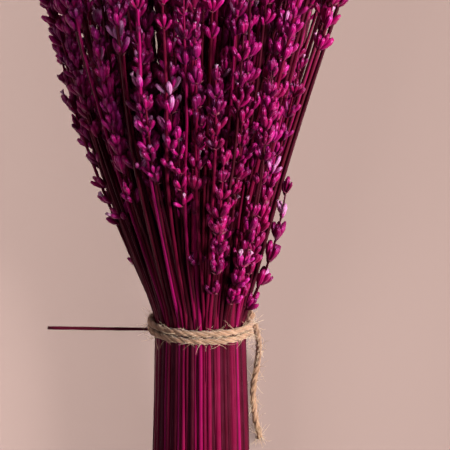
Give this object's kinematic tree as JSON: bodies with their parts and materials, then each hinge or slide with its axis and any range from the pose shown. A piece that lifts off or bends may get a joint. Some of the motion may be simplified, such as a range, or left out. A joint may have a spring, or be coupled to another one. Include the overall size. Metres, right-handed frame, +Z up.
{
  "type": "dried lavender bunch",
  "caption": "Bunch of dried, dyed lavender lying on its back, tied round its stems with two turns of jute twine, heads fanned out.",
  "frame": {"origin": "middle of the bunch's footprint on the surface it lies on, without the loose end of twine", "axes": "+Y towards the flower heads, -Y towards the cut stem ends, +X to the right as the picture shows the bunch, +Z up"},
  "size_m": [0.1356, 0.343, 0.1009],
  "materials": {
    "lavender": "dyed dried plant, matt",
    "jute": "natural jute, hairy"
  },
  "bodies": {
    "root": {"spray_01": "lavender", "spray_02": "lavender", "spray_03": "lavender", "spray_04": "lavender", "spray_05": "lavender", "spray_06": "lavender", "spray_07": "lavender", "spray_08": "lavender", "spray_09": "lavender", "spray_10": "lavender", "spray_11": "lavender", "spray_12": "lavender", "spray_13": "lavender", "spray_14": "lavender", "spray_15": "lavender", "spray_16": "lavender", "spray_17": "lavender", "spray_18": "lavender", "spray_19": "lavender", "spray_20": "lavender", "spray_21": "lavender", "spray_22": "lavender", "spray_23": "lavender", "spray_24": "lavender", "spray_25": "lavender", "spray_26": "lavender", "spray_27": "lavender", "spray_28": "lavender", "spray_29": "lavender", "spray_30": "lavender", "spray_31": "lavender", "spray_32": "lavender", "spray_33": "lavender", "spray_34": "lavender", "spray_35": "lavender", "spray_36": "lavender", "twine": "jute", "twine_tail": "jute"}
  },
  "joints": []
}
